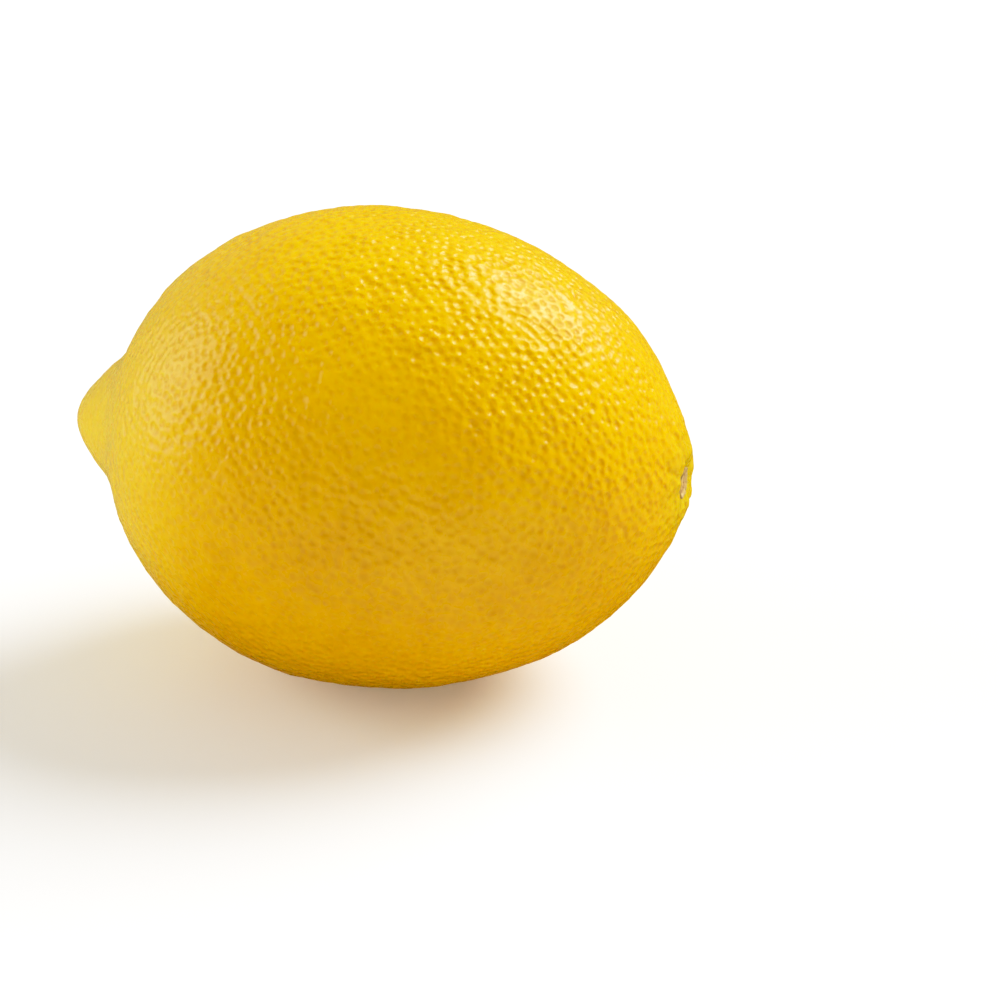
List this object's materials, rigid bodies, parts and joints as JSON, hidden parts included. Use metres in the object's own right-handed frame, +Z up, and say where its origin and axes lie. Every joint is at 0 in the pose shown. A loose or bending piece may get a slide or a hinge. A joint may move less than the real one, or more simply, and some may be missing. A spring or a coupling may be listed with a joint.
{
  "type": "lemon",
  "caption": "Whole fresh lemon lying on its side: an egg-shaped fruit with a blunt nipple at one end and a dimpled stem scar at the other, for kitchen and market scenes.",
  "frame": {"origin": "on the surface that the lemon rests on, under the middle of its box", "axes": "+X along the fruit from the nipple to the stem end, +Y level and across the fruit, +Z up"},
  "size_m": [0.077, 0.058, 0.0576],
  "materials": {
    "lemon_peel": "ripe yellow lemon peel, waxy satin gloss over fine oil-gland pits"
  },
  "bodies": {
    "root": {"lemon": "lemon_peel"}
  },
  "joints": []
}
